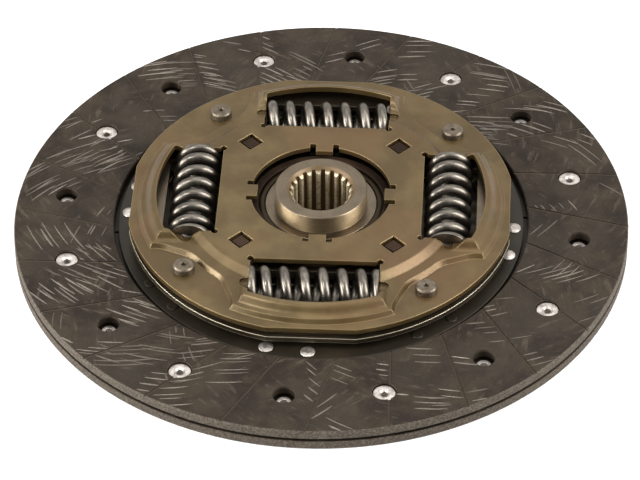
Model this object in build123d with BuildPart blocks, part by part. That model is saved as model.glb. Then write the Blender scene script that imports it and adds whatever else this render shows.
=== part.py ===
from build123d import *
import os
from math import asin, cos, degrees, hypot, pi, radians, sin, sqrt, tan

os.makedirs("parts", exist_ok=True)

# Clutch disc. Origin on the axis, halfway between the two facings; the gearbox side is up.

# Friction facings
facing_outer_d = 215.0
facing_width = 35.0
facing_thickness = 3.3
facing_gap = 1.4
groove_count = 24
groove_width = 0.8
groove_depth = 0.45
groove_sweep = 7.0          # degrees that a groove leans over between rim and bore
facing_edge = 0.3

# Facing rivets
segment_count = 8
rivet_edge = 16.9           # rivet circle to the rim of the facings
rivet_spread = 23.7         # degrees between the front and rear rivet of one segment
segment_angle = 28.35       # middle of the first segment
rivet_head_d = 7.5
rivet_recess_d = 8.3
rivet_shank_d = 4.8
rivet_bore_d = 2.4
rivet_head_height = 0.9
rivet_floor = 1.3           # facing left under a rivet head
rivet_tail_d = 6.2
rivet_tail_height = 0.6
access_d = 9.6
fit = 0.05                  # radial clearance of rivets and pins in their holes

# Cushion segments and carrier plate
segment_thickness = 0.7
segment_gap = 1.2
paddle_inset = 1.0          # paddles from the bore of the facings
paddle_rim_inset = 1.5      # and from their rim
root_inner_r = 63.3
root_outer_r = 75.0
carrier_r = 71.0
carrier_thickness = 2.0
carrier_inner_r = 54.0
carrier_clearance = 4.0     # carrier cut-outs round the rear spring windows
root_rivet_r = 67.5
root_rivet_pitch = 12.2     # degrees
root_rivet_angle = -6.9
root_head_d = 5.0
root_head_height = 0.7
root_shank_d = 3.0
root_tail_d = 3.8
root_tail_height = 0.25

# Pressed plates on both sides of the hub flange
sheet = 1.9
plate_r = 67.7
plate_flat = 66.0
plate_gap = 2.4             # between the rims of the two plates
carrier_stand_off = 3.15    # carrier plate to rear retainer
step_outer_r = 64.0
step_rise = 1.6
step_run = 1.15
pad_inner_r = 53.6
lobe_half_width = 28.0
lobe_flare = 6.0            # how much wider a lobe is where it leaves the middle
lobe_flare_run = 15.0
lobe_round = 9.0            # plan radius of the bends beside a pad
dome_outer_r = 48.8
dome_inner_r = 46.2
dome_rise = 2.2

# Spring windows
window_count = 4
window_inner = 35.5
window_half_length = 22.2
window_outer_r = 57.4
window_relief_r = 1.2
window_notch_width = 3.5
window_notch_length = 3.2
window_notch_depth = 1.0
lip_rise = 2.8
lip_run = 4.8
lip_end_run = 4.0
lip_half_length = 22.4

# Damper springs
spring_od = 16.5
wire_d = 3.5
spring_length = 44.0
spring_axis_r = 44.4
spring_above_middle = 0.6   # spring axis above the middle of the plate gap
coil_pitch = 6.58
active_turns = 2.5          # to each side of the middle
end_turns = 1.35
spring_quarter_turns = (0, 2, 0, 0)     # how far each spring is turned about its own axis

# Stop pins
pin_circle_r = 59.0
pin_lag = 4.65              # degrees behind the middle between two windows
pin_shank_d = 5.0
pin_collar_d = 7.5
pin_head_d = 7.7
pin_head_height = 2.5
pin_rear_height = 1.95
pin_dimple_d = 1.9
pin_dimple_depth = 1.2
stop_forward = 8.0          # degrees that the hub may turn one way
stop_back = 12.0            # and the other way
stop_margin = 0.25

# Hub
hub_front_z = 17.4
hub_rear_z = -3.2
barrel_d = 32.3
barrel_edge = 0.3
collar_width = 3.5
collar_height = 0.95
spline_teeth = 20
spline_major_d = 22.2
spline_minor_d = 19.7
spline_root_width = 1.25
spline_mouth_width = 2.1
spline_angle = -1.0
spline_lead = 2.1
flange_r = 65.0
flange_core_r = 51.3
flange_thickness = 3.5
flange_window_inner = 35.0
flange_window_outer = 54.4
flange_play = 0.15

# Friction parts inside the damper
ring_gap = 0.1
ring_collar_width = 2.1
ring_outer_r = 31.5
ring_thickness = 0.7
ring_collar_height = 1.15
tab_outer_r = 33.5
tab_thickness = 1.0
peg_r = 37.1
peg_side = 4.2
peg_below_dome = 0.6
peg_arm_width = 8.0
square_hole = 6.4
disc_spring_inner_r = 24.6
disc_spring_outer_r = 33.0
disc_spring_thickness = 0.7
rear_bush_wall = 2.85
rear_bush_outer_r = 30.0
rear_bush_flange = 1.4
rear_washer_outer_r = 31.0

# Centre hole of the cover
cover_hole_r = 24.5
tab_tip_r = 22.2
tab_width = 5.9
tab_notch_r = 26.0
tab_notch_width = 2.2
tab_root_r = 30.0

# Radii that follow from the sizes above
facing_inner_d = facing_outer_d - 2 * facing_width
rivet_circle_r = facing_outer_d / 2 - rivet_edge
paddle_inner_r = facing_inner_d / 2 + paddle_inset
paddle_outer_r = facing_outer_d / 2 - paddle_rim_inset
collar_d = barrel_d + 2 * collar_width
ring_collar_r = collar_d / 2 + ring_gap + ring_collar_width
rear_hole_r = barrel_d / 2 + rear_bush_wall

# Heights
facing_face_z = facing_gap / 2
facing_top_z = facing_face_z + facing_thickness
carrier_z = segment_thickness / 2
carrier_top_z = carrier_z + carrier_thickness
rear_rim_z = carrier_top_z + carrier_stand_off
rear_rim_top_z = rear_rim_z + sheet
cover_rim_z = rear_rim_top_z + plate_gap
cover_rim_top_z = cover_rim_z + sheet
step_top_z = cover_rim_top_z + step_rise
dome_top_z = step_top_z + dome_rise
dome_under_z = dome_top_z - sheet
middle_z = rear_rim_top_z + plate_gap / 2
spring_z = middle_z + spring_above_middle
flange_front_z = cover_rim_z - flange_play
flange_rear_z = flange_front_z - flange_thickness
tip_rear_z = rear_rim_top_z + flange_play
rear_dome_z = 2 * middle_z - dome_under_z

window_pitch = 360 / window_count
segment_pitch = 360 / segment_count
front_rivet_angle = segment_angle - rivet_spread / 2
rear_rivet_angle = segment_angle + rivet_spread / 2
pin_angle = window_pitch / 2 - pin_lag


# Friction facing, as it sits on the front
groove_inner_point = (
    facing_inner_d / 2 * cos(radians(groove_sweep)),
    facing_inner_d / 2 * sin(radians(groove_sweep)),
)
groove_length = hypot(facing_outer_d / 2 - groove_inner_point[0], groove_inner_point[1])
groove_lean = -degrees(asin(groove_inner_point[1] / groove_length))
groove_middle = ((facing_outer_d / 2 + groove_inner_point[0]) / 2, groove_inner_point[1] / 2)

with BuildSketch() as groove:
    with Locations(groove_middle):
        Rectangle(groove_length + 4, groove_width, rotation=groove_lean)

with BuildPart() as facing_front:
    with BuildSketch(Plane.XY.offset(facing_face_z)):
        Circle(facing_outer_d / 2)
        Circle(facing_inner_d / 2, mode=Mode.SUBTRACT)
    extrude(amount=facing_thickness)
    rims = facing_front.edges().filter_by(GeomType.CIRCLE).group_by(Axis.Z)[-1]
    chamfer(rims, facing_edge)
    with BuildSketch(Plane.XY.offset(facing_top_z)):
        with PolarLocations(0, groove_count):
            add(groove.sketch)
    extrude(amount=-groove_depth, mode=Mode.SUBTRACT)
    with BuildSketch(Plane.XY.offset(facing_face_z + rivet_floor)):
        with PolarLocations(rivet_circle_r, segment_count, start_angle=front_rivet_angle):
            Circle(rivet_recess_d / 2)
    extrude(amount=facing_thickness, mode=Mode.SUBTRACT)
    with BuildSketch(Plane.XY.offset(facing_face_z)):
        with PolarLocations(rivet_circle_r, segment_count, start_angle=front_rivet_angle):
            Circle(rivet_shank_d / 2 + fit)
        with PolarLocations(rivet_circle_r, segment_count, start_angle=rear_rivet_angle):
            Circle(access_d / 2)
    extrude(amount=facing_thickness, mode=Mode.SUBTRACT)
facing_front.part.label = "facing_front"
export_step(facing_front.part, "parts/facing_front.step")

# The same facing turned over about the middle of a segment
turn_over = Axis((0, 0, 0), (cos(radians(segment_angle)), sin(radians(segment_angle)), 0))
with BuildPart() as facing_rear:
    add(facing_front.part.rotate(turn_over, 180))
facing_rear.part.label = "facing_rear"
export_step(facing_rear.part, "parts/facing_rear.step")


# Tubular rivet through the front facing and its paddle
with BuildPart() as facing_rivet:
    with BuildSketch(Plane.XZ):
        with BuildLine():
            Polyline(
                (rivet_bore_d / 2, -rivet_tail_height),
                (rivet_tail_d / 2, -rivet_tail_height),
                (rivet_tail_d / 2, 0),
                (rivet_shank_d / 2, 0),
                (rivet_shank_d / 2, facing_face_z + rivet_floor),
                (rivet_head_d / 2, facing_face_z + rivet_floor),
                (rivet_head_d / 2, facing_face_z + rivet_floor + rivet_head_height),
                (rivet_bore_d / 2 + 0.8, facing_face_z + rivet_floor + rivet_head_height),
                (rivet_bore_d / 2, facing_face_z + rivet_floor + 0.4),
                close=True,
            )
        make_face()
    revolve(axis=Axis.Z)

with BuildPart() as facing_rivets_front:
    with PolarLocations(rivet_circle_r, segment_count, start_angle=front_rivet_angle):
        add(facing_rivet.part)
facing_rivets_front.part.label = "facing_rivets_front"
export_step(facing_rivets_front.part, "parts/facing_rivets_front.step")

with BuildPart() as facing_rivets_rear:
    add(facing_rivets_front.part.rotate(turn_over, 180))
facing_rivets_rear.part.label = "facing_rivets_rear"
export_step(facing_rivets_rear.part, "parts/facing_rivets_rear.step")


# Cushion segment: a root under the carrier plate and two paddles, one against each facing
def sector(inner_r, outer_r, start, end):
    """Ring sector between two angles in degrees."""
    with BuildSketch() as piece:
        with BuildLine():
            Polyline(
                (inner_r * cos(radians(end)), inner_r * sin(radians(end))),
                (outer_r * cos(radians(end)), outer_r * sin(radians(end))),
            )
            CenterArc((0, 0), outer_r, start, end - start)
            Polyline(
                (outer_r * cos(radians(start)), outer_r * sin(radians(start))),
                (inner_r * cos(radians(start)), inner_r * sin(radians(start))),
            )
            CenterArc((0, 0), inner_r, start, end - start)
        make_face()
    return piece.sketch


paddle_half_gap = degrees(segment_gap / 2 / rivet_circle_r)
segment_half = segment_pitch / 2 - paddle_half_gap
with BuildPart() as segment:
    with BuildSketch(Plane.XY.offset(-segment_thickness / 2)):
        add(sector(root_inner_r, root_outer_r, -segment_half, segment_half))
    extrude(amount=segment_thickness)
    with BuildSketch():
        add(sector(paddle_inner_r, paddle_outer_r, -segment_half, -paddle_half_gap))
    extrude(amount=segment_thickness)
    with BuildSketch(Plane.XY.offset(-segment_thickness)):
        add(sector(paddle_inner_r, paddle_outer_r, paddle_half_gap, segment_half))
    extrude(amount=segment_thickness)
    with BuildSketch(Plane.XY.offset(-segment_thickness)):
        with PolarLocations(rivet_circle_r, 2, start_angle=-rivet_spread / 2, angular_range=rivet_spread,
                            endpoint=True):
            Circle(rivet_shank_d / 2 + fit)
        with PolarLocations(root_rivet_r, 2,
                            start_angle=segment_pitch + root_rivet_angle - segment_angle - root_rivet_pitch / 2,
                            angular_range=root_rivet_pitch, endpoint=True):
            Circle(root_shank_d / 2 + fit)
    extrude(amount=2 * segment_thickness, mode=Mode.SUBTRACT)

for index in range(segment_count):
    with BuildPart() as cushion_segment:
        add(segment.part.rotate(Axis.Z, segment_angle + index * segment_pitch))
    cushion_segment.part.label = f"cushion_segment_{index + 1}"
    export_step(cushion_segment.part, f"parts/cushion_segment_{index + 1}.step")


# Room in the carrier plate for the ridges of the rear retainer
with BuildSketch() as lip_room:
    with PolarLocations(window_outer_r / 2, window_count):
        Rectangle(2 * window_outer_r, 2 * (lip_half_length + carrier_clearance))
    Circle(window_outer_r + carrier_clearance, mode=Mode.INTERSECT)

# Carrier plate
with BuildPart() as carrier_plate:
    with BuildSketch(Plane.XY.offset(carrier_z)):
        Circle(carrier_r)
        Circle(carrier_inner_r, mode=Mode.SUBTRACT)
        add(lip_room.sketch, mode=Mode.SUBTRACT)
        with PolarLocations(pin_circle_r, window_count, start_angle=pin_angle):
            Circle(pin_shank_d / 2 + fit, mode=Mode.SUBTRACT)
        for end in (-0.5, 0.5):
            with PolarLocations(root_rivet_r, segment_count, start_angle=root_rivet_angle + end * root_rivet_pitch):
                Circle(root_shank_d / 2 + fit, mode=Mode.SUBTRACT)
    extrude(amount=carrier_thickness)
carrier_plate.part.label = "carrier_plate"
export_step(carrier_plate.part, "parts/carrier_plate.step")


# Segment rivets: every second pair goes in from the rear
with BuildPart() as root_rivet:
    with BuildSketch(Plane.XZ):
        with BuildLine():
            Polyline(
                (root_head_d / 2, carrier_top_z),
                (root_shank_d / 2, carrier_top_z),
                (root_shank_d / 2, -carrier_z),
                (root_tail_d / 2, -carrier_z),
                (root_tail_d / 2, -carrier_z - root_tail_height),
                (0, -carrier_z - root_tail_height),
                (0, carrier_top_z + root_head_height),
                (root_head_d / 4, carrier_top_z + root_head_height),
            )
            Line((root_head_d / 4, carrier_top_z + root_head_height), (root_head_d / 2, carrier_top_z + 0.25))
            Line((root_head_d / 2, carrier_top_z + 0.25), (root_head_d / 2, carrier_top_z))
        make_face()
    revolve(axis=Axis.Z)

rivet_middle = Plane.XY.offset((carrier_top_z - carrier_z) / 2)
with BuildPart() as segment_rivets_front:
    for end in (-0.5, 0.5):
        with PolarLocations(root_rivet_r, window_count, start_angle=root_rivet_angle + end * root_rivet_pitch):
            add(root_rivet.part)
segment_rivets_front.part.label = "segment_rivets_front"
export_step(segment_rivets_front.part, "parts/segment_rivets_front.step")

with BuildPart() as segment_rivets_rear:
    mirror(segment_rivets_front.part.rotate(Axis.Z, segment_pitch), about=rivet_middle)
segment_rivets_rear.part.label = "segment_rivets_rear"
export_step(segment_rivets_rear.part, "parts/segment_rivets_rear.step")


# Ridge along the outer side of every spring window, as an outer and an inner surface
def window_lips(apex_z, foot_z, half_length, foot_grow):
    """Four ridges that rise from foot_z to apex_z over the outer edge of the windows."""
    rise = apex_z - foot_z
    run = lip_run * rise / lip_rise
    end_run = lip_end_run * rise / lip_rise
    with BuildPart() as ridge:
        with BuildSketch(Plane.XZ):
            with BuildLine():
                inner_foot = (window_outer_r - run - foot_grow, foot_z)
                inner_apex = (window_outer_r - foot_grow, apex_z)
                outer_apex = (window_outer_r + foot_grow, apex_z)
                outer_foot = (window_outer_r + run + foot_grow, foot_z)
                Spline(inner_foot, inner_apex, tangents=((1, 0), (1, 0)))
                Line(inner_apex, outer_apex)
                Spline(outer_apex, outer_foot, tangents=((1, 0), (1, 0)))
                Line(outer_foot, inner_foot)
            make_face()
        revolve(axis=Axis.Z)
    with BuildPart() as keep:
        with BuildSketch(Plane.YZ.offset(window_inner)):
            with BuildLine():
                Spline((-half_length - end_run, foot_z), (-half_length, apex_z), tangents=((1, 0), (1, 0)))
                Line((-half_length, apex_z), (half_length, apex_z))
                Spline((half_length, apex_z), (half_length + end_run, foot_z), tangents=((1, 0), (1, 0)))
                Line((half_length + end_run, foot_z), (-half_length - end_run, foot_z))
            make_face()
        extrude(amount=plate_r - window_inner)
    with BuildPart() as lips:
        with PolarLocations(0, window_count):
            add(keep.part)
        add(ridge.part, mode=Mode.INTERSECT)
    return lips.part


# Raised middle of a pressed plate, which leaves four pads at rim height around the stop pins
def raised_outline(inset):
    """Plan of the raised middle, drawn in by inset."""
    half_width = lobe_half_width - inset
    with BuildSketch() as lobe:
        with BuildLine():
            Polyline(
                (0, 0),
                (pad_inner_r - lobe_flare_run, half_width + lobe_flare),
                (pad_inner_r, half_width),
                (plate_r, half_width),
                (plate_r, -half_width),
                (pad_inner_r, -half_width),
                (pad_inner_r - lobe_flare_run, -half_width - lobe_flare),
                close=True,
            )
        make_face()
        Circle(step_outer_r - inset, mode=Mode.INTERSECT)
    with BuildSketch() as outline:
        Circle(pad_inner_r - inset)
        with PolarLocations(0, window_count):
            add(lobe.sketch)
        bends = outline.vertices().filter_by(lambda v: hypot(v.X, v.Y) < step_outer_r - inset - 0.1)
        fillet(bends, lobe_round)
    return outline.sketch


# Spring window with relieved corners and a shallow notch pressed into the middle of each end
with BuildSketch() as window:
    with Locations(((window_inner + plate_r) / 2, 0)):
        Rectangle(plate_r - window_inner, 2 * window_half_length)
    Circle(window_outer_r, mode=Mode.INTERSECT)
    with Locations((window_inner, window_half_length), (window_inner, -window_half_length)):
        Circle(window_relief_r)

with BuildSketch() as notch:
    with Locations((spring_axis_r + 0.6, 0)):
        SlotOverall(2 * (window_half_length + window_notch_length), window_notch_width, rotation=90)

# A slope in bent sheet moves in by sheet * tan(half the slope angle) on the underside
step_shift = sheet * step_rise / (hypot(step_rise, step_run) + step_run)
dome_run = dome_outer_r - dome_inner_r
dome_shift = sheet * dome_rise / (hypot(dome_rise, dome_run) + dome_run)

with BuildPart() as pressed_plate:
    with BuildSketch(Plane.XY.offset(cover_rim_z)):
        Circle(plate_r)
        with PolarLocations(plate_flat + sheet, window_count):
            Rectangle(2 * sheet, plate_r, mode=Mode.SUBTRACT)
    extrude(amount=sheet)
    with BuildSketch(Plane.XY.offset(cover_rim_z)):
        add(raised_outline(0))
    extrude(amount=step_top_z - cover_rim_z)
    step_edges = pressed_plate.faces().sort_by(Axis.Z)[-1].outer_wire().edges()
    chamfer(step_edges, step_rise - 0.05, step_run)
    with BuildSketch(Plane.XZ):
        with BuildLine():
            Polyline((0, cover_rim_z), (dome_outer_r, cover_rim_z), (dome_outer_r, step_top_z),
                     (dome_inner_r, dome_top_z), (0, dome_top_z), close=True)
        make_face()
    revolve(axis=Axis.Z)
    add(window_lips(step_top_z + lip_rise, step_top_z, lip_half_length, 0.3))

with BuildPart() as hollow:
    with BuildSketch(Plane.XY.offset(cover_rim_z)):
        add(raised_outline(step_shift))
    extrude(amount=step_rise)
    chamfer(hollow.faces().sort_by(Axis.Z)[-1].outer_wire().edges(), step_rise - 0.05, step_run)
    with BuildSketch(Plane.XZ):
        with BuildLine():
            Polyline((0, cover_rim_z), (dome_outer_r - dome_shift, cover_rim_z),
                     (dome_outer_r - dome_shift, step_top_z - sheet),
                     (dome_inner_r - dome_shift, dome_under_z), (0, dome_under_z), close=True)
        make_face()
    revolve(axis=Axis.Z)
    lip_sheet = sheet * hypot(lip_rise, lip_run) / lip_run
    add(window_lips(step_top_z + lip_rise - lip_sheet, step_top_z - sheet, lip_half_length - 0.5, 0.15))

with BuildPart() as plate_blank:
    add(pressed_plate.part)
    add(hollow.part, mode=Mode.SUBTRACT)
    with BuildSketch(Plane.XY.offset(cover_rim_z)):
        with PolarLocations(0, window_count):
            add(window.sketch)
        with PolarLocations(pin_circle_r, window_count, start_angle=pin_angle):
            Circle(pin_shank_d / 2 + fit)
    extrude(amount=dome_top_z + lip_rise - cover_rim_z, mode=Mode.SUBTRACT)
    with BuildSketch(Plane.XY.offset(step_top_z - window_notch_depth)):
        with PolarLocations(0, window_count):
            add(notch.sketch)
    extrude(amount=dome_rise + lip_rise, mode=Mode.SUBTRACT)

# Front cover plate: tabbed centre hole and square peg holes
with BuildPart() as cover_plate:
    add(plate_blank.part)
    with BuildSketch(Plane.XY.offset(cover_rim_z)):
        Circle(cover_hole_r)
        with PolarLocations((tab_tip_r + tab_notch_r) / 2, window_count):
            Rectangle(tab_notch_r - tab_tip_r, tab_width + 2 * tab_notch_width)
        with PolarLocations((tab_tip_r + tab_root_r) / 2, window_count):
            Rectangle(tab_root_r - tab_tip_r, tab_width, mode=Mode.SUBTRACT)
        with PolarLocations(peg_r, window_count, start_angle=window_pitch / 2):
            Rectangle(square_hole, square_hole)
    extrude(amount=dome_top_z - cover_rim_z, mode=Mode.SUBTRACT)
cover_plate.part.label = "cover_plate"
export_step(cover_plate.part, "parts/cover_plate.step")

# Rear retainer plate, the cover's mirror image with a plain centre hole
with BuildPart() as rear_retainer:
    mirror(plate_blank.part, about=Plane.XY.offset(middle_z))
    with BuildSketch(Plane.XY.offset(rear_dome_z - sheet)):
        Circle(rear_hole_r)
    extrude(amount=plate_gap + 2 * dome_rise + 2 * sheet, mode=Mode.SUBTRACT)
rear_retainer.part.label = "rear_retainer"
export_step(rear_retainer.part, "parts/rear_retainer.step")


# Stop pins, each one turned piece with a collar between the plates and a shoulder on the carrier
with BuildPart() as stop_pin:
    with BuildSketch(Plane.XZ):
        with BuildLine():
            Polyline(
                (0, carrier_z - pin_rear_height + pin_dimple_depth),
                (pin_dimple_d / 4, carrier_z - pin_rear_height + pin_dimple_depth),
                (pin_dimple_d / 2, carrier_z - pin_rear_height),
                (pin_head_d / 2 - 0.4, carrier_z - pin_rear_height),
                (pin_head_d / 2, carrier_z - pin_rear_height + 0.4),
                (pin_head_d / 2, carrier_z),
                (pin_shank_d / 2, carrier_z),
                (pin_shank_d / 2, carrier_top_z),
                (pin_collar_d / 2, carrier_top_z),
                (pin_collar_d / 2, rear_rim_z),
                (pin_shank_d / 2, rear_rim_z),
                (pin_shank_d / 2, rear_rim_top_z),
                (pin_collar_d / 2, rear_rim_top_z),
                (pin_collar_d / 2, cover_rim_z),
                (pin_shank_d / 2, cover_rim_z),
                (pin_shank_d / 2, cover_rim_top_z),
                (pin_head_d / 2, cover_rim_top_z),
                (pin_head_d / 2 - 0.2, cover_rim_top_z + pin_head_height - 0.5),
                (pin_head_d / 2 - 0.7, cover_rim_top_z + pin_head_height),
                (pin_dimple_d / 2, cover_rim_top_z + pin_head_height),
                (pin_dimple_d / 4, cover_rim_top_z + pin_head_height - pin_dimple_depth),
                (0, cover_rim_top_z + pin_head_height - pin_dimple_depth),
                close=True,
            )
        make_face()
    revolve(axis=Axis.Z)

with BuildPart() as stop_pins:
    with PolarLocations(pin_circle_r, window_count, start_angle=pin_angle):
        add(stop_pin.part)
stop_pins.part.label = "stop_pins"
export_step(stop_pins.part, "parts/stop_pins.step")


# Damper spring in the first window, right-handed, with closed and ground ends
end_pitch_drop = coil_pitch - wire_d - 0.04


def coil_advance(turn):
    """Distance along the spring after a number of turns from its middle."""
    extra = max(0.0, abs(turn) - active_turns)
    settled = max(0.0, extra - 1.0)
    closing = min(extra, 1.0)
    advance = coil_pitch * (min(abs(turn), active_turns) + closing) - end_pitch_drop * closing ** 2 / 2
    advance += (coil_pitch - end_pitch_drop) * settled
    return advance if turn > 0 else -advance


coil_r = (spring_od - wire_d) / 2
points_per_turn = 12
coil_points = round((active_turns + end_turns) * points_per_turn)
coil_turns = [step / points_per_turn for step in range(-coil_points, coil_points + 1)]
with BuildPart() as spring:
    with BuildLine() as coil:
        Spline(*[
            (spring_axis_r - coil_r * sin(2 * pi * turn), coil_advance(turn), spring_z - coil_r * cos(2 * pi * turn))
            for turn in coil_turns
        ])
    with BuildSketch(Plane(origin=coil.line @ 0, z_dir=coil.line % 0)):
        Circle(wire_d / 2)
    sweep(path=coil.line, is_frenet=True)
    with Locations((spring_axis_r, 0, spring_z)):
        Box(2 * spring_od, spring_length - 0.04, 2 * spring_od, mode=Mode.INTERSECT)

spring_axis = Axis((spring_axis_r, 0, spring_z), (0, 1, 0))
for index in range(window_count):
    with BuildPart() as damper_spring:
        add(spring.part.rotate(spring_axis, 90 * spring_quarter_turns[index]).rotate(Axis.Z, index * window_pitch))
    damper_spring.part.label = f"damper_spring_{index + 1}"
    export_step(damper_spring.part, f"parts/damper_spring_{index + 1}.step")


# Hub: barrel, collar and flange in one forging
pin_half_angle = degrees(asin((pin_collar_d / 2 + stop_margin) / pin_circle_r))
slot_start = pin_angle - stop_forward - pin_half_angle
slot_end = pin_angle + stop_back + pin_half_angle

with BuildSketch() as spline_space:
    with BuildLine():
        Polyline(
            (spline_minor_d / 2 - 1, -spline_mouth_width / 2),
            (spline_minor_d / 2, -spline_mouth_width / 2),
            (spline_major_d / 2, -spline_root_width / 2),
            (spline_major_d / 2, spline_root_width / 2),
            (spline_minor_d / 2, spline_mouth_width / 2),
            (spline_minor_d / 2 - 1, spline_mouth_width / 2),
            close=True,
        )
    make_face()

with BuildSketch() as flange_windows:
    with PolarLocations((flange_window_inner + flange_window_outer) / 2, window_count):
        Rectangle(flange_window_outer - flange_window_inner, spring_length)
    for side in (-1, 1):
        with PolarLocations(hypot(flange_window_inner, spring_length / 2), window_count,
                            start_angle=side * degrees(asin(spring_length / 2
                                                            / hypot(flange_window_inner, spring_length / 2)))):
            Circle(window_relief_r)

with BuildPart() as hub:
    with BuildSketch(Plane.XZ):
        with BuildLine():
            Polyline(
                (spline_minor_d / 2 - 0.1 + spline_lead, hub_rear_z),
                (barrel_d / 2 - barrel_edge, hub_rear_z),
                (barrel_d / 2, hub_rear_z + barrel_edge),
                (barrel_d / 2, flange_rear_z),
                (flange_core_r, flange_rear_z),
                (flange_core_r, flange_front_z),
                (collar_d / 2, flange_front_z),
                (collar_d / 2, flange_front_z + collar_height - 0.3),
                (collar_d / 2 - 0.3, flange_front_z + collar_height),
                (barrel_d / 2, flange_front_z + collar_height),
                (barrel_d / 2, hub_front_z - barrel_edge),
                (barrel_d / 2 - barrel_edge, hub_front_z),
                (spline_minor_d / 2 + spline_lead, hub_front_z),
                (spline_minor_d / 2, hub_front_z - spline_lead),
                (spline_minor_d / 2, hub_rear_z + spline_lead),
                (spline_minor_d / 2 - 0.1 + spline_lead, hub_rear_z),
            )
        make_face()
    revolve(axis=Axis.Z)
    with BuildSketch(Plane.XY.offset(tip_rear_z)):
        Circle(flange_r)
        Circle(flange_core_r - 1, mode=Mode.SUBTRACT)
        with PolarLocations(0, window_count):
            add(sector(pin_circle_r - pin_collar_d / 2 - 0.35, flange_r + 5, slot_start, slot_end),
                mode=Mode.SUBTRACT)
    extrude(amount=flange_front_z - tip_rear_z)
    with BuildSketch(Plane.XY.offset(flange_rear_z)):
        add(flange_windows.sketch)
    extrude(amount=flange_thickness, mode=Mode.SUBTRACT)
    with BuildSketch(Plane.XY.offset(hub_rear_z)):
        with PolarLocations(0, spline_teeth, start_angle=spline_angle):
            add(spline_space.sketch)
    extrude(amount=hub_front_z - hub_rear_z, mode=Mode.SUBTRACT)
hub.part.label = "hub"
export_step(hub.part, "parts/hub.step")


# Front friction ring with an upright collar around the hub's collar
with BuildPart() as friction_ring:
    with BuildSketch(Plane.XZ):
        with BuildLine():
            Polyline(
                (collar_d / 2 + ring_gap, flange_front_z),
                (ring_outer_r, flange_front_z),
                (ring_outer_r, flange_front_z + ring_thickness),
                (ring_collar_r, flange_front_z + ring_thickness),
                (ring_collar_r, flange_front_z + ring_collar_height - 0.3),
                (ring_collar_r - 0.9, flange_front_z + ring_collar_height),
                (collar_d / 2 + ring_gap, flange_front_z + ring_collar_height),
                close=True,
            )
        make_face()
    revolve(axis=Axis.Z)
friction_ring.part.label = "friction_ring"
export_step(friction_ring.part, "parts/friction_ring.step")

# Tab washer whose four pegs stand in the square holes of the cover
tab_z = flange_front_z + ring_thickness
with BuildPart() as tab_washer:
    with BuildSketch(Plane.XY.offset(tab_z)):
        Circle(tab_outer_r)
        with PolarLocations((ring_collar_r + peg_r + peg_side / 2) / 2, window_count, start_angle=window_pitch / 2):
            Rectangle(peg_r + peg_side / 2 - ring_collar_r, peg_arm_width)
        Circle(ring_collar_r + ring_gap, mode=Mode.SUBTRACT)
    extrude(amount=tab_thickness)
    with BuildSketch(Plane.XY.offset(tab_z)):
        with PolarLocations(peg_r, window_count, start_angle=window_pitch / 2):
            Rectangle(peg_side, peg_side)
    extrude(amount=dome_top_z - peg_below_dome - tab_z)
tab_washer.part.label = "tab_washer"
export_step(tab_washer.part, "parts/tab_washer.step")

# Disc spring between the tab washer and the underside of the cover
with BuildPart() as disc_spring:
    with BuildSketch(Plane.XZ):
        with BuildLine():
            Polyline(
                (disc_spring_inner_r, tab_z + tab_thickness),
                (disc_spring_outer_r, dome_under_z - disc_spring_thickness),
                (disc_spring_outer_r, dome_under_z),
                (disc_spring_inner_r, tab_z + tab_thickness + disc_spring_thickness),
                close=True,
            )
        make_face()
    revolve(axis=Axis.Z)
disc_spring.part.label = "disc_spring"
export_step(disc_spring.part, "parts/disc_spring.step")

# Rear bush centres the rear retainer on the hub, with a friction washer in front of its flange
with BuildPart() as rear_bush:
    with BuildSketch(Plane.XZ):
        with BuildLine():
            Polyline(
                (barrel_d / 2 + ring_gap, rear_dome_z - sheet),
                (rear_hole_r - ring_gap, rear_dome_z - sheet),
                (rear_hole_r - ring_gap, rear_dome_z),
                (rear_bush_outer_r, rear_dome_z),
                (rear_bush_outer_r, rear_dome_z + rear_bush_flange),
                (barrel_d / 2 + ring_gap, rear_dome_z + rear_bush_flange),
                close=True,
            )
        make_face()
    revolve(axis=Axis.Z)
rear_bush.part.label = "rear_bush"
export_step(rear_bush.part, "parts/rear_bush.step")

with BuildPart() as rear_washer:
    with BuildSketch(Plane.XY.offset(rear_dome_z + rear_bush_flange)):
        Circle(rear_washer_outer_r)
        Circle(barrel_d / 2 + 3 * ring_gap, mode=Mode.SUBTRACT)
    extrude(amount=flange_rear_z - rear_dome_z - rear_bush_flange)
rear_washer.part.label = "rear_washer"
export_step(rear_washer.part, "parts/rear_washer.step")
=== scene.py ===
import math
import random

import bpy
from mathutils import Matrix, Vector
from mathutils.bvhtree import BVHTree


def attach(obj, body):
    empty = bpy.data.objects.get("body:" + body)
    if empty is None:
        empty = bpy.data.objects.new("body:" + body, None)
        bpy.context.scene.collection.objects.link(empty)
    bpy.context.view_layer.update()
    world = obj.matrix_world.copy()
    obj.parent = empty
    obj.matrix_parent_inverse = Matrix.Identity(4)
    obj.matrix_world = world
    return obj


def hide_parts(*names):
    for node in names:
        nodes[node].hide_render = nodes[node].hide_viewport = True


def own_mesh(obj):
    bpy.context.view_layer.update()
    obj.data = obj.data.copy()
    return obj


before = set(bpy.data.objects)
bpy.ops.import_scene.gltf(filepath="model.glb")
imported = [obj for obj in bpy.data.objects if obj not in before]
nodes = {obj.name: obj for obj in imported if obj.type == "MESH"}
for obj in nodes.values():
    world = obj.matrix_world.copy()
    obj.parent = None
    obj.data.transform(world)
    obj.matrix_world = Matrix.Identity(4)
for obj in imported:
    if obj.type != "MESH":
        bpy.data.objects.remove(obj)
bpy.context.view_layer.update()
MM = 0.001

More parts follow.
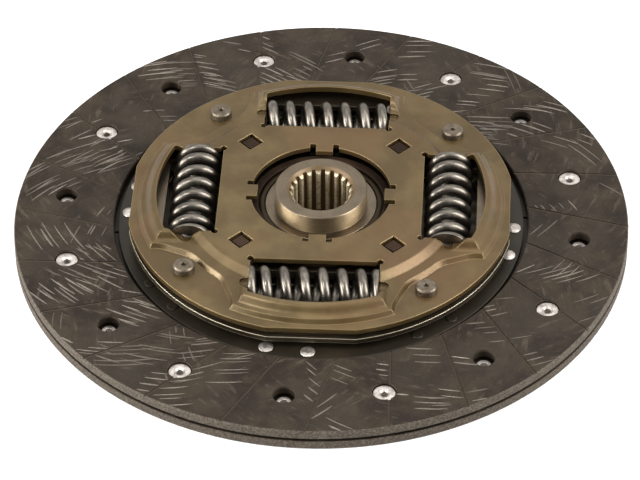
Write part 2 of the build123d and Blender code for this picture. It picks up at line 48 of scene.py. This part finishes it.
# Sizes repeated from the source, in millimetres
floor_z = -4.0
facing_top = 4.0
facing_mid_r = 90.0
facing_swing = 33.5           # how far the yarn swings to each side of the middle of the facing
loops_per_turn = 2
rivet_circle_r = 90.6
rivet_count = 8
front_rivet_angle = 16.5      # degrees
rear_rivet_angle = 40.2
access_r = 4.8
tail_r = 3.1
barrel_r = (15.6, 16.3)       # the barrel's wall lies between these
bore_r = 12.0                 # and the lead-in of the bore inside this
tooth_r = (10.3, 10.9)        # flank of a spline, from tooth to root

# Looks measured in the photograph, in millimetres
narrow_access_r = 3.9
narrow_tail_r = 2.5
rim_band = (107.05, 107.3)    # where the ground face of a facing turns into its rim
groove_from = (0.1, 0.4)      # depths between which a groove turns pale
groove_to = (0.6, 0.8)        # and dark again, above the floors of the rivet holes
floor_shade = (75.0, 100.0)   # radii between which the stage floor goes from dark to white


# Material building blocks
def new_material(name):
    mat = bpy.data.materials.new(name)
    mat.use_nodes = True
    tree = mat.node_tree
    tree.nodes.clear()
    return mat, tree


def feed(tree, socket, value):
    """Link a socket to the value's own socket, or set it to a constant."""
    if isinstance(value, bpy.types.NodeSocket):
        tree.links.new(value, socket)
    else:
        socket.default_value = value


def add(tree, kind, inputs=None, **settings):
    node = tree.nodes.new(kind)
    for key, value in settings.items():
        setattr(node, key, value)
    for key, value in (inputs or {}).items():
        feed(tree, node.inputs[key], value)
    return node


def maths(tree, operation, a, b=0.0):
    return add(tree, "ShaderNodeMath", {0: a, 1: b}, operation=operation).outputs[0]


def object_point(tree):
    return add(tree, "ShaderNodeTexCoord").outputs["Object"]


def noise_at(tree, vector, scale, detail=3.0, roughness=0.55):
    return add(tree, "ShaderNodeTexNoise", {
        "Vector": vector, "Scale": scale, "Detail": detail, "Roughness": roughness}).outputs["Fac"]


def ramp(tree, value, low, high, least=0.0, most=1.0):
    """A smooth step from one value to another while the input goes from low to high."""
    return add(tree, "ShaderNodeMapRange", {
        "Value": value, "From Min": low, "From Max": high, "To Min": least, "To Max": most},
        interpolation_type="SMOOTHSTEP").outputs[0]


def ramp_mm(tree, value, band, least=0.0, most=1.0):
    return ramp(tree, value, band[0] * MM, band[1] * MM, least, most)


def blend_colour(tree, share, a, b):
    node = add(tree, "ShaderNodeMix", data_type="RGBA", clamp_factor=True)
    for index, value in ((0, share), (6, a), (7, b)):
        feed(tree, node.inputs[index], value)
    return node.outputs[2]


def rgb(r, g, b):
    """An sRGB colour of 0 to 255, as the linear colour that a shader takes."""
    return tuple(c / 12.92 if c <= 0.04045 else ((c + 0.055) / 1.055) ** 2.4
                 for c in (r / 255, g / 255, b / 255)) + (1.0,)


def polar(tree, point):
    x, y, z = add(tree, "ShaderNodeSeparateXYZ", {0: point}).outputs
    squares = maths(tree, "ADD", maths(tree, "MULTIPLY", x, x), maths(tree, "MULTIPLY", y, y))
    return maths(tree, "SQRT", squares), maths(tree, "ARCTAN2", y, x), z


def edge_mask(tree, radius, flat_turn=0.97, edge_turn=0.8):
    """One along the edges of a solid and nought on its faces, from how far a rounded normal turns."""
    rounded = add(tree, "ShaderNodeBevel", {"Radius": radius}, samples=8).outputs[0]
    flat = add(tree, "ShaderNodeNewGeometry").outputs["Normal"]
    turn = add(tree, "ShaderNodeVectorMath", {0: rounded, 1: flat}, operation="DOT_PRODUCT")
    return ramp(tree, turn.outputs["Value"], flat_turn, edge_turn)


def finish_surface(mat, tree, colour, roughness, metallic, height, strength, depth, round_edges=0.0,
                   **sockets):
    """End a material: its shader, a bump from the height and edges rounded by a radius."""
    shader = add(tree, "ShaderNodeBsdfPrincipled", {
        "Metallic": metallic, "Base Color": colour, "Roughness": roughness})
    for key, value in sockets.items():
        feed(tree, shader.inputs[key.replace("_", " ")], value)
    bump = add(tree, "ShaderNodeBump", {"Height": height, "Strength": strength, "Distance": depth})
    if round_edges:
        rounded = add(tree, "ShaderNodeBevel", {"Radius": round_edges}, samples=6).outputs[0]
        tree.links.new(rounded, bump.inputs["Normal"])
    tree.links.new(bump.outputs[0], shader.inputs["Normal"])
    out = add(tree, "ShaderNodeOutputMaterial")
    tree.links.new(shader.outputs[0], out.inputs[0])
    return mat


# Friction lining: resin-bound yarn wound in loops between the two edges
def winding_streaks(tree, radius, angle, past_swing=1.08, radial_share=14.0):
    """Noise drawn out along the loops, once for each of the two ways in which they cross a face."""
    reach = facing_swing * MM * past_swing
    swing = maths(tree, "DIVIDE", maths(tree, "SUBTRACT", radius, facing_mid_r * MM), reach)
    lean = maths(tree, "ARCSINE", maths(tree, "MAXIMUM", maths(tree, "MINIMUM", swing, 1.0), -1.0))
    turned = maths(tree, "MULTIPLY", angle, float(loops_per_turn))
    streaks = []
    for side in (1.0, -1.0):
        loop = maths(tree, "SUBTRACT", maths(tree, "MULTIPLY", lean, side), turned)
        along = add(tree, "ShaderNodeCombineXYZ", {
            0: maths(tree, "COSINE", loop), 1: maths(tree, "SINE", loop),
            2: maths(tree, "MULTIPLY", radius, radial_share)}).outputs[0]
        streaks.append(noise_at(tree, along, scale=15.0, detail=3.0, roughness=0.6))
    return streaks


def lining():
    mat, tree = new_material("friction_lining")
    point = object_point(tree)
    radius, angle, z = polar(tree, point)
    one_way, other_way = winding_streaks(tree, radius, angle)
    patches = ramp(tree, noise_at(tree, point, scale=46.0, detail=2.0), 0.46, 0.54)
    streak = add(tree, "ShaderNodeMix", {0: patches, 2: one_way, 3: other_way},
                 data_type="FLOAT").outputs[0]
    cloud = noise_at(tree, point, scale=95.0, detail=5.0, roughness=0.65)
    grain = noise_at(tree, point, scale=1300.0, detail=4.0, roughness=0.7)
    resin = blend_colour(tree, ramp(tree, cloud, 0.34, 0.66), rgb(33, 26, 19), rgb(54, 45, 35))
    streaky = blend_colour(tree, ramp(tree, streak, 0.54, 0.7, most=0.4), resin, rgb(92, 82, 71))
    shaded = blend_colour(tree, ramp(tree, streak, 0.44, 0.3, most=0.5), streaky, rgb(30, 24, 20))
    speckled = blend_colour(tree, ramp(tree, grain, 0.6, 0.76, most=0.5), shaded, rgb(112, 102, 90))
    browned = ramp(tree, noise_at(tree, point, scale=38.0, detail=2.0), 0.45, 0.64, most=0.4)
    face = blend_colour(tree, browned, speckled, rgb(58, 52, 43))
    # Painted light: a groove is painted pale between these depths, standing in for light caught on its walls
    # and lifting its shade.
    depth_below = maths(tree, "SUBTRACT", facing_top * MM, maths(tree, "ABSOLUTE", z))
    groove_painted_light = maths(tree, "MULTIPLY", ramp_mm(tree, depth_below, groove_from, most=0.7),
                   ramp_mm(tree, depth_below, groove_to, least=1.0, most=0.0))
    groove_lit_colour = blend_colour(tree, groove_painted_light, face, rgb(90, 80, 66))
    rim_grain = blend_colour(tree, ramp(tree, grain, 0.42, 0.6), rgb(72, 64, 55), rgb(112, 102, 90))
    colour = blend_colour(tree, ramp_mm(tree, radius, rim_band, most=0.75), groove_lit_colour, rim_grain)
    height = maths(tree, "ADD", maths(tree, "MULTIPLY", streak, 0.8), maths(tree, "MULTIPLY", grain, 0.4))
    return finish_surface(mat, tree, colour, ramp(tree, grain, 0.3, 0.7, 0.5, 0.75), metallic=0.0,
                          height=height, strength=0.6, depth=0.0005, round_edges=0.0004,
                          Specular_IOR_Level=0.18)


def yarn_strands():
    """Yarn at the ground face, as pale as the tone that each strand carries, with a painted highlight on
    strands that run along the X axis.
    """
    mat, tree = new_material("lining_yarn")
    tone_and_sheen = add(tree, "ShaderNodeAttribute", attribute_name="tone_and_sheen").outputs["Fac"]
    fibre = noise_at(tree, object_point(tree), scale=1500.0, detail=3.0, roughness=0.7)
    glass = blend_colour(tree, tone_and_sheen, rgb(58, 50, 42), rgb(166, 155, 140))
    broken = blend_colour(tree, ramp(tree, fibre, 0.45, 0.65, most=0.5), glass, rgb(74, 66, 57))
    return finish_surface(mat, tree, broken, 0.6, metallic=0.0, height=fibre, strength=0.5,
                          depth=0.0003, Specular_IOR_Level=0.35)


# Coated and bare steels
def coated(name, colour, pale, rough=0.42, metallic=0.55, mottle=0.4, edge_sheen=0.7, stain=None, **sockets):
    """A thin coating, clouded by the pale colour, with a painted highlight of it along the edges, and
    stained in patches.
    """
    mat, tree = new_material(name)
    point = object_point(tree)
    cloud = noise_at(tree, point, scale=55.0, detail=4.0, roughness=0.6)
    fine = noise_at(tree, point, scale=900.0, detail=4.0, roughness=0.65)
    base = blend_colour(tree, ramp(tree, cloud, 0.35, 0.7, most=mottle), colour, pale)
    if stain is not None:
        spread = noise_at(tree, point, scale=33.0, detail=2.0, roughness=0.5)
        base = blend_colour(tree, ramp(tree, spread, 0.48, 0.66, most=0.5), base, stain)
    # Painted highlight: the pale colour is painted along the sheet's edges, in place of light caught on
    # rounded edges.
    edge = maths(tree, "MULTIPLY", edge_mask(tree, 0.0006), edge_sheen)
    edge_highlighted = blend_colour(tree, edge, base, pale)
    height = maths(tree, "ADD", maths(tree, "MULTIPLY", cloud, 0.5), fine)
    return finish_surface(mat, tree, edge_highlighted, ramp(tree, fine, 0.3, 0.7, rough, rough + 0.06), metallic,
                          height=height, strength=0.05, depth=0.0003, round_edges=0.0007, **sockets)


def turned_steel(name, colour, dark, rough=0.3, spread=0.0, angle_share=0.0006, ring_scale=3800.0):
    """Steel turned on a lathe, whose fine rings spread the light across them."""
    mat, tree = new_material(name)
    point = object_point(tree)
    radius, angle, z = polar(tree, point)
    slow_angle = maths(tree, "MULTIPLY", angle, angle_share)
    rings = add(tree, "ShaderNodeCombineXYZ", {0: radius, 1: z, 2: slow_angle}).outputs[0]
    marks = noise_at(tree, rings, scale=ring_scale, detail=2.0, roughness=0.6)
    cloud = noise_at(tree, point, scale=160.0, detail=4.0, roughness=0.6)
    stained = blend_colour(tree, ramp(tree, cloud, 0.4, 0.7, most=0.4), colour, dark)
    lined = blend_colour(tree, ramp(tree, marks, 0.5, 0.7, most=0.3), stained, dark)
    around = add(tree, "ShaderNodeTangent", direction_type="RADIAL", axis="Z").outputs[0]
    return finish_surface(mat, tree, lined, ramp(tree, marks, 0.3, 0.7, rough - 0.04, rough + 0.08),
                          metallic=0.95, height=marks, strength=0.1, depth=0.0001, round_edges=0.0003,
                          Anisotropic=spread, Anisotropic_Rotation=0.25, Tangent=around)


def broached_steel():
    """The splines of the bore: teeth painted pale as painted light, with roots painted dark between them as
    painted shade.
    """
    mat, tree = new_material("broached_splines")
    point = object_point(tree)
    radius = polar(tree, point)[0]
    marks = noise_at(tree, point, scale=900.0, detail=3.0, roughness=0.6)
    painted_light_tooth = blend_colour(tree, ramp(tree, marks, 0.4, 0.7), rgb(204, 190, 160), rgb(160, 142, 112))
    # Painted light on the teeth and painted shade in the roots, by radius.
    colour = blend_colour(tree, ramp_mm(tree, radius, tooth_r), painted_light_tooth, rgb(104, 84, 58))
    return finish_surface(mat, tree, colour, 0.42, metallic=0.45, height=marks, strength=0.1,
                          depth=0.0001, round_edges=0.0003)


def wire_steel(name, colour, pale):
    mat, tree = new_material(name)
    point = object_point(tree)
    cloud = noise_at(tree, point, scale=260.0, detail=4.0, roughness=0.6)
    fine = noise_at(tree, point, scale=1800.0, detail=3.0, roughness=0.7)
    base = blend_colour(tree, ramp(tree, cloud, 0.45, 0.72, most=0.6), colour, pale)
    return finish_surface(mat, tree, base, ramp(tree, cloud, 0.3, 0.7, 0.26, 0.4), metallic=0.95,
                          height=fine, strength=0.1, depth=0.0001)


def plated(name, colour, dark, rough=0.34):
    mat, tree = new_material(name)
    point = object_point(tree)
    cloud = noise_at(tree, point, scale=420.0, detail=4.0, roughness=0.65)
    fine = noise_at(tree, point, scale=2400.0, detail=3.0, roughness=0.7)
    base = blend_colour(tree, ramp(tree, cloud, 0.42, 0.66, most=0.7), colour, dark)
    return finish_surface(mat, tree, base, ramp(tree, fine, 0.3, 0.7, rough - 0.06, rough + 0.12),
                          metallic=0.8, height=fine, strength=0.2, depth=0.0002, round_edges=0.0003)


def moulded(name, colour, pale):
    mat, tree = new_material(name)
    point = object_point(tree)
    cloud = noise_at(tree, point, scale=300.0)
    fine = noise_at(tree, point, scale=3000.0, detail=2.0)
    base = blend_colour(tree, ramp(tree, cloud, 0.4, 0.7, most=0.5), colour, pale)
    return finish_surface(mat, tree, base, 0.5, metallic=0.0, height=fine, strength=0.15,
                          depth=0.0001, round_edges=0.0003)


materials = {
    "lining": lining(),
    "yarn": yarn_strands(),
    "plate": coated("bronze_plate_coating", rgb(83, 67, 39), rgb(162, 139, 95), rough=0.3,
                    metallic=0.5, mottle=0.2, stain=rgb(94, 68, 41)),
    # Painted shade: the retainer is a dark copy of the plate coating, and its near-white edges are a painted
    # highlight.
    "retainer": coated("retainer_coating_painted_shade", rgb(46, 37, 23), rgb(222, 210, 184), rough=0.36,
                       metallic=0.6, mottle=0.08, edge_sheen=0.9),
    # Painted shade: the carrier and the cushion segments are painted near-black for the shade in the gap
    # between facing and cover.
    "carrier": coated("carrier_coating", rgb(36, 30, 20), rgb(70, 62, 46), metallic=0.4,
                      mottle=0.3, edge_sheen=0.4),
    "segment": coated("cushion_spring_steel_painted_shade", rgb(23, 16, 7), rgb(58, 48, 34), rough=0.4, metallic=0.5),
    # Partly the washer's own browned steel and partly painted shade, for the washer that lies in shade under
    # the cover.
    "tab_washer": coated("washer_browned_and_painted_shade", rgb(30, 20, 12), rgb(92, 70, 54), rough=0.6,
                         metallic=0.0, mottle=0.25, Specular_IOR_Level=0.12),
    "hub": turned_steel("machined_hub_steel", rgb(116, 104, 88), rgb(86, 76, 62)),
    # Painted light: the barrel's wall takes a lighter, lit copy of the hub steel.
    "hub_wall": turned_steel("turned_hub_wall_lit_copy", rgb(164, 144, 112), rgb(110, 93, 70), 0.45, 0.97),
    "hub_bore": broached_steel(),
    # Painted shade: the friction ring is painted dark for the shade in the hub's hole under the cover.
    "ring": turned_steel("ring_steel_painted_shade", rgb(58, 49, 36), rgb(36, 30, 22), 0.34, 0.5),
    "coil": wire_steel("oil_tempered_wire", rgb(104, 98, 90), rgb(150, 142, 130)),
    # Partly the spring's own blackened steel and partly painted shade, for the spring in shade under the
    # cover.
    "disc_spring": wire_steel("disc_spring_blackened_and_painted_shade", rgb(20, 17, 14), rgb(34, 30, 26)),
    "pin": plated("pin_steel", rgb(112, 101, 86), rgb(70, 62, 52)),
    "rivet": plated("rivet_zinc", rgb(212, 203, 195), rgb(126, 118, 110)),
    "polymer": moulded("friction_polymer", rgb(34, 30, 26), rgb(62, 56, 50)),
}

finishes = {
    "facing_front": "lining", "facing_rear": "lining", "carrier_plate": "carrier",
    "cover_plate": "plate", "rear_retainer": "retainer", "stop_pins": "pin",
    "facing_rivets_front": "rivet", "facing_rivets_rear": "rivet",
    # The front ends of the rear segment rivets take the carrier's painted shade.
    "segment_rivets_front": "rivet", "segment_rivets_rear": "carrier",
    "friction_ring": "ring", "tab_washer": "tab_washer", "disc_spring": "disc_spring",
    "rear_bush": "polymer", "rear_washer": "polymer", "hub": "hub",
}
finishes.update({f"cushion_segment_{i}": "segment" for i in range(1, 9)})
finishes.update({f"damper_spring_{i}": "coil" for i in range(1, 5)})
for node_name, finish in finishes.items():
    node_materials = nodes[node_name].data.materials
    node_materials.clear()
    node_materials.append(materials[finish])


def refinish(node_name, finish, chosen):
    """Give the faces of a node that a test picks a finish of their own."""
    mesh = nodes[node_name].data
    mesh.materials.append(materials[finish])
    for polygon in mesh.polygons:
        if chosen(polygon):
            polygon.material_index = len(mesh.materials) - 1


def from_axis(polygon):
    return math.hypot(polygon.center.x, polygon.center.y) / MM


def on_barrel(polygon, upright=0.2):
    return abs(polygon.normal.z) < upright and barrel_r[0] < from_axis(polygon) < barrel_r[1]


def in_bore(polygon, level=0.9):
    return abs(polygon.normal.z) < level and from_axis(polygon) < bore_r


def on_rear_side(polygon, downward=-0.3):
    return polygon.normal.z < downward


# The rear retainer's inner faces carry painted shade, a dark copy of the plate coating, and its rear side
# has the cover's coating
refinish("hub", "hub_wall", on_barrel)
refinish("hub", "hub_bore", in_bore)
refinish("rear_retainer", "plate", on_rear_side)


# Pieces that the solids don't have, or have wider than the photograph shows
def place_piece(name, mesh, body):
    piece = bpy.data.objects.new(name, mesh)
    bpy.context.scene.collection.objects.link(piece)
    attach(piece, body)
    return piece


def narrowed(name, source, start_angle, old_r, new_r, wall_tolerance=0.06):
    """A copy of a node in which the round walls of one radius about the rivet places get another radius."""
    mesh = nodes[source].data.copy()
    mesh.name = name
    for step in range(rivet_count):
        angle = math.radians(start_angle + step * 360 / rivet_count)
        centre = Vector((math.cos(angle), math.sin(angle))) * rivet_circle_r * MM
        for vertex in mesh.vertices:
            out = Vector(vertex.co[:2]) - centre
            if abs(out.length - old_r * MM) < wall_tolerance * MM:
                vertex.co[:2] = centre + out.normalized() * new_r * MM
    piece = place_piece(name, mesh, "disc")
    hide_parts(source)
    return piece


lining_front = narrowed("lining_front", "facing_front", rear_rivet_angle,
                        access_r, narrow_access_r)
lining_rear = narrowed("lining_rear", "facing_rear", front_rivet_angle,
                       access_r, narrow_access_r)
narrowed("lining_rivets_front", "facing_rivets_front", front_rivet_angle,
         tail_r, narrow_tail_r)
narrowed("lining_rivets_rear", "facing_rivets_rear", rear_rivet_angle,
         tail_r, narrow_tail_r)


# Yarn that shows at the ground faces: groups of short runs side by side on the winding's loops
group_count = 220
group_members = (2, 6)
group_lengths = (0.05, 0.15)  # radians round the disc
group_tones = (0.35, 1.0)
group_bend = 1.0              # radians of phase for each radian of length
lit_share = 0.94              # of the groups run where the light from behind shows them
strand_spacing = 2 * math.pi / 58
strand_half_width = 0.46
strand_sunk = -0.01
strand_lift = 0.05
strand_steps = 16
least_steps = 6
spacing_spread = (0.85, 1.15)
size_spread = (0.6, 1.2)      # of a strand's length and width
turn_spread = 0.02            # radians
tone_spread = (0.5, 1.0)
width_spread = (0.8, 1.1)     # from point to point along a strand
unlit_tone = 0.15             # of a strand that runs away from the light from behind
edge_tone = 0.1
blunt_end = 0.4               # of a step, by which the taper starts before the first point
taper_power = 0.35
ray_height = 1.0              # above the ground face, from which a ray looks for it
ray_tolerance = 0.02


def strand_point(phase, turn):
    r = facing_mid_r + facing_swing * math.sin(loops_per_turn * turn + phase)
    return Vector((r * math.cos(turn), r * math.sin(turn), 0.0))


def lengthwise(phase, turn):
    """How far a strand runs along the X axis there, from nought to one."""
    ahead = strand_point(phase, turn + 0.01) - strand_point(phase, turn)
    return abs(ahead.x) / ahead.length


def longest_run(line, on_face):
    """The longest stretch of a strand that has the ground face under it, clear of grooves and holes."""
    best, run = [], []
    for point in line:
        run = run + [point] if on_face(point) else []
        best = max(best, run, key=len)
    return best


def strand_bead(line, half_width, tone_and_sheen, face_z, up, rng):
    """Points and tones of one strand, as a low ridge with sunk edges and tapered ends."""
    steps = len(line) - 1
    points, tones_and_sheen = [], []
    for k, p in enumerate(line):
        ahead = line[min(k + 1, steps)] - line[max(k - 1, 0)]
        across = Vector((-ahead.y, ahead.x, 0)).normalized()
        taper = math.sin(math.pi * (k + blunt_end) / (steps + 2 * blunt_end)) ** taper_power
        width = half_width * taper * rng.uniform(*width_spread)
        for side, lift in ((-1, strand_sunk), (0, strand_lift * taper), (1, strand_sunk)):
            q = p + across * side * width
            points.append((q.x, q.y, face_z + up * lift))
            tones_and_sheen.append(tone_and_sheen * taper if side == 0 else edge_tone * tone_and_sheen)
    return points, tones_and_sheen


def bead_faces(first, steps, up):
    """The closed skin of a bead of three points a step: two ends, two slopes and an underside."""
    last = first + 3 * steps
    skin = [(first, first + 1, first + 2), (last + 2, last + 1, last)]
    for a in range(first, last, 3):
        skin += [(a, a + 3, a + 4, a + 1), (a + 1, a + 4, a + 5, a + 2), (a + 2, a + 5, a + 3, a)]
    return [face[::-1] if up > 0 else face for face in skin]


def yarn_piece(name, lining_piece, face_z, up, seed):
    rng = random.Random(seed)
    surface = BVHTree.FromObject(lining_piece, bpy.context.evaluated_depsgraph_get())

    def on_face(p):
        start = Vector((p.x, p.y, face_z + up * ray_height)) * MM
        hit = surface.ray_cast(start, Vector((0, 0, -up)), (ray_height + ray_tolerance) * MM)
        return hit[0] is not None and hit[3] > (ray_height - ray_tolerance) * MM

    verts, faces, tones_and_sheen = [], [], []
    for group in range(group_count):
        group_turn = rng.uniform(0, 2 * math.pi)
        group_phase = rng.uniform(0, 2 * math.pi)
        crossing = math.pi - group_phase - 2 * loops_per_turn * group_turn
        crossing_is_lit = lengthwise(crossing, group_turn) > lengthwise(group_phase, group_turn)
        if crossing_is_lit == (rng.random() < lit_share):
            group_phase = crossing
        group_length = rng.uniform(*group_lengths)
        group_tone = rng.uniform(*group_tones)
        bend = rng.uniform(-group_bend, group_bend)
        for member in range(rng.randint(*group_members)):
            phase = group_phase + member * strand_spacing * rng.uniform(*spacing_spread)
            length = group_length * rng.uniform(*size_spread)
            turn = group_turn + rng.uniform(-turn_spread, turn_spread)
            half_width = strand_half_width * rng.uniform(*size_spread)
            # Painted highlight: a strand is painted paler the more it runs along the X axis, where the light
            # from behind would catch it.
            painted_sheen = unlit_tone + (1 - unlit_tone) * lengthwise(phase, turn) ** 2
            tone_and_sheen = group_tone * rng.uniform(*tone_spread) * painted_sheen
            reach = [length * k / strand_steps for k in range(strand_steps + 1)]
            line = longest_run([strand_point(phase + bend * t, turn + t) for t in reach], on_face)
            if len(line) > least_steps:
                points, point_tones_and_sheen = strand_bead(line, half_width, tone_and_sheen, face_z, up, rng)
                faces += bead_faces(len(verts), len(line) - 1, up)
                verts += points
                tones_and_sheen += point_tones_and_sheen

    mesh = bpy.data.meshes.new(name)
    mesh.from_pydata([Vector(v) * MM for v in verts], [], faces)
    mesh.materials.append(materials["yarn"])
    for polygon in mesh.polygons:
        polygon.use_smooth = True
    mesh.attributes.new("tone_and_sheen", "FLOAT", "POINT").data.foreach_set("value", tones_and_sheen)
    return place_piece(name, mesh, "disc")


yarn_piece("lining_yarn_front", lining_front, facing_top, 1, seed=3)
yarn_piece("lining_yarn_rear", lining_rear, floor_z, -1, seed=11)


# Damper springs: copies of the round wire coils, smooth, which ride with the spring set
def coil_piece(number):
    source = nodes[f"damper_spring_{number}"]
    mesh = source.data.copy()
    mesh.name = f"damper_coil_{number}"
    for polygon in mesh.polygons:
        polygon.use_smooth = True
    piece = place_piece(mesh.name, mesh, "spring_set")
    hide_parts(source.name)
    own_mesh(piece)


for number in range(1, 5):
    coil_piece(number)


# Stage, in metres: floor, a dark card behind the camera, lamps and world
def stage_plane(name, corners, mat):
    mesh = bpy.data.meshes.new(name)
    mesh.from_pydata(corners, [], [(0, 1, 2, 3)])
    mesh.materials.append(mat)
    plane = bpy.data.objects.new(name, mesh)
    bpy.context.scene.collection.objects.link(plane)


def seen_ray(tree):
    """One for the rays that see the background, straight or by way of metal or glass."""
    path = add(tree, "ShaderNodeLightPath")
    return maths(tree, "MAXIMUM", path.outputs["Is Camera Ray"],
                 maths(tree, "MAXIMUM", path.outputs["Is Glossy Ray"], path.outputs["Is Transmission Ray"]))


def stage_floor(brightness=0.34, reach=4.0, below=0.00006):
    """A white floor with a painted shadow under the disc, where the damper's windows look down on it."""
    mat, tree = new_material("pale_floor")
    seen = seen_ray(tree)
    radius = polar(tree, object_point(tree))[0]
    open_floor = ramp_mm(tree, radius, floor_shade)
    # Painted shadow: the floor's colour is dark under the disc.
    diffuse = add(tree, "ShaderNodeBsdfDiffuse", {
        "Color": blend_colour(tree, open_floor, (0.16, 0.14, 0.11, 1), (0.8, 0.8, 0.8, 1))})
    glow = maths(tree, "MULTIPLY", maths(tree, "MULTIPLY", seen, open_floor), brightness)
    emission = add(tree, "ShaderNodeEmission", {"Color": (1, 1, 1, 1), "Strength": glow})
    both = add(tree, "ShaderNodeAddShader", {0: diffuse.outputs[0], 1: emission.outputs[0]})
    out = add(tree, "ShaderNodeOutputMaterial")
    tree.links.new(both.outputs[0], out.inputs[0])
    corners = [(x * reach, y * reach, floor_z * MM - below) for x, y in ((-1, -1), (1, -1), (1, 1), (-1, 1))]
    stage_plane("floor", corners, mat)


def dark_card(half_width=1.2, behind=-1.9, bottom=0.02, top=1.9):
    """The unlit side of the studio, behind the camera, which upright metal faces reflect."""
    mat, tree = new_material("dark_card")
    shader = add(tree, "ShaderNodeBsdfDiffuse", {"Color": (0.03, 0.027, 0.022, 1)})
    out = add(tree, "ShaderNodeOutputMaterial")
    tree.links.new(shader.outputs[0], out.inputs[0])
    stage_plane("dark_card", [(-half_width, behind, bottom), (half_width, behind, bottom),
                              (half_width, behind, top), (-half_width, behind, top)], mat)


def lamp(name, place, size, power):
    """A softbox of a width and height in metres and a power in watts, turned to the hub."""
    data = bpy.data.lights.new(name, "AREA")
    data.shape = "RECTANGLE"
    data.size, data.size_y = size
    data.energy = power
    item = bpy.data.objects.new(name, data)
    bpy.context.scene.collection.objects.link(item)
    item.location = place
    item.rotation_euler = (-Vector(place)).to_track_quat("-Z", "Y").to_euler()


def studio_world(plain_strength=0.35):
    """Pale light all round, and white where the background is seen."""
    world = bpy.data.worlds.new("studio")
    bpy.context.scene.world = world
    world.use_nodes = True
    tree = world.node_tree
    tree.nodes.clear()
    strength = ramp(tree, seen_ray(tree), 0.0, 1.0, least=plain_strength)
    sky = add(tree, "ShaderNodeBackground", {"Color": (1, 1, 1, 1), "Strength": strength})
    out = add(tree, "ShaderNodeOutputWorld")
    tree.links.new(sky.outputs[0], out.inputs[0])


stage_floor()
dark_card()
lamp("top_softbox", (0.14, 0.45, 1.25), (1.0, 1.0), 4.0)
lamp("left_softbox", (-0.98, -0.3, 0.31), (0.8, 0.45), 16.0)
lamp("right_softbox", (0.86, -0.16, 0.6), (0.6, 0.95), 14.5)
lamp("lip_softbox", (-0.5, -0.38, 0.95), (0.3, 0.3), 4.5)
studio_world()

# Camera fitted to the photograph: the axis of the disc at its face lies at the centre, in pixels
image_width, image_height = 640, 480
centre_x, centre_y = 321.110, 217.010
focal_pixels = 3749.256
sensor = 36.0
camera_distance = 1.313975
camera_elevation = math.radians(41.114)
camera_azimuth = math.radians(3.3)
camera_roll = -0.0062782


def fitted_camera():
    forward = Vector((-math.sin(camera_azimuth) * math.cos(camera_elevation),
                      math.cos(camera_azimuth) * math.cos(camera_elevation), -math.sin(camera_elevation)))
    right = Vector((math.cos(camera_azimuth), math.sin(camera_azimuth), 0))
    up = right.cross(forward)
    rolled_right = right * math.cos(camera_roll) + up * math.sin(camera_roll)
    rolled_up = up * math.cos(camera_roll) - right * math.sin(camera_roll)
    camera = bpy.data.objects.new("camera", bpy.data.cameras.new("camera"))
    bpy.context.scene.collection.objects.link(camera)
    camera.data.sensor_width = sensor
    camera.data.lens = focal_pixels / image_width * sensor
    camera.data.shift_x = (image_width / 2 - centre_x) / image_width
    camera.data.shift_y = (centre_y - image_height / 2) / image_width
    camera.data.clip_start, camera.data.clip_end = 0.05, 20.0
    place = Vector((0, 0, facing_top * MM)) - forward * camera_distance
    turned = Matrix((rolled_right, rolled_up, -forward)).transposed().to_4x4()
    camera.matrix_world = Matrix.Translation(place) @ turned
    return camera


bpy.context.scene.camera = fitted_camera()
bpy.context.scene.view_settings.view_transform = "Standard"
